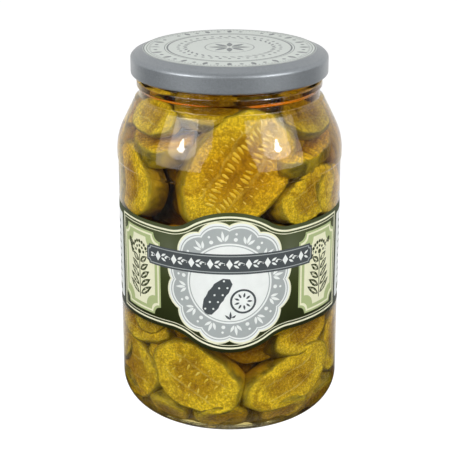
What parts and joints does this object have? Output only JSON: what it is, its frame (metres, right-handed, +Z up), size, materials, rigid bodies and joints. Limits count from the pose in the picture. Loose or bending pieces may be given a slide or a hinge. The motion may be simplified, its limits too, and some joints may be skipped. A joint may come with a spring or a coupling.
{
  "type": "pickle jar",
  "caption": "Sealed round glass jar with a wide-mouth twist-off metal lid and a wrap-round paper label, filled with sliced gherkins in brine, for storing pickled food.",
  "frame": {"origin": "centre of the foot, on the surface the jar stands on", "axes": "+Z up along the jar's axis, -Y towards the front of the label, +X to the right seen from the front"},
  "size_m": [0.0922, 0.0922, 0.1531],
  "materials": {
    "glass": "clear moulded container glass, glossy",
    "lid_steel": "pressed tinplate, printed grey lacquer, satin gloss",
    "seal": "soft sealing compound, matt",
    "label_paper": "coated paper, printed in greens and cream, satin",
    "brine": "clear amber-olive pickling brine holding gherkin slices"
  },
  "bodies": {
    "root": {"glass_jar": "glass", "lid": "lid_steel", "lid_seal": "seal", "label": "label_paper", "brine": "brine"}
  },
  "joints": []
}
